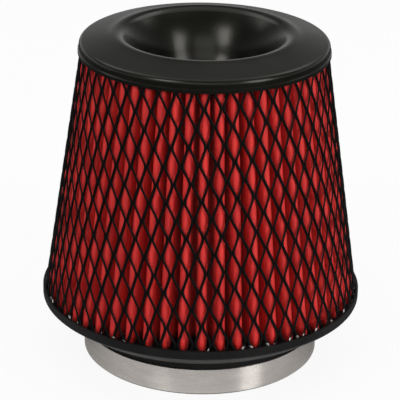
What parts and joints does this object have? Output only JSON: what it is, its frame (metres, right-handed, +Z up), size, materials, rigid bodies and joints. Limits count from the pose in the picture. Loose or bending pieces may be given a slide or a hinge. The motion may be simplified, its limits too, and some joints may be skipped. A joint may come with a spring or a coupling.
{
  "type": "conical air filter",
  "caption": "Clamp-on conical engine air filter: red pleated cotton behind a black diamond mesh, black funnel cap, rubber neck and a steel worm-drive clamp.",
  "frame": {"origin": "centre of the neck's mouth, on the plane that the neck's end rests on", "axes": "+Z up along the cone's axis towards the cap; +Y towards the clamp's screw at the back; +X to the right seen from the front"},
  "size_m": [0.15, 0.15, 0.1565],
  "materials": {
    "cap_plastic": "satin black moulded plastic",
    "neck_rubber": "satin black moulded rubber",
    "mesh_black": "satin black coated expanded steel",
    "media_red": "oiled red cotton gauze",
    "inner_metal": "bare expanded aluminium",
    "seal_compound": "cast sealing compound",
    "clamp_steel": "brushed stainless strip"
  },
  "bodies": {
    "root": {"base_flange": "neck_rubber", "outer_mesh": "mesh_black", "filter_media": "media_red", "inner_mesh": "inner_metal", "cap_seal": "seal_compound", "top_cap": "cap_plastic", "clamp_band": "clamp_steel", "clamp_housing": "clamp_steel", "clamp_screw": "clamp_steel"}
  },
  "joints": []
}
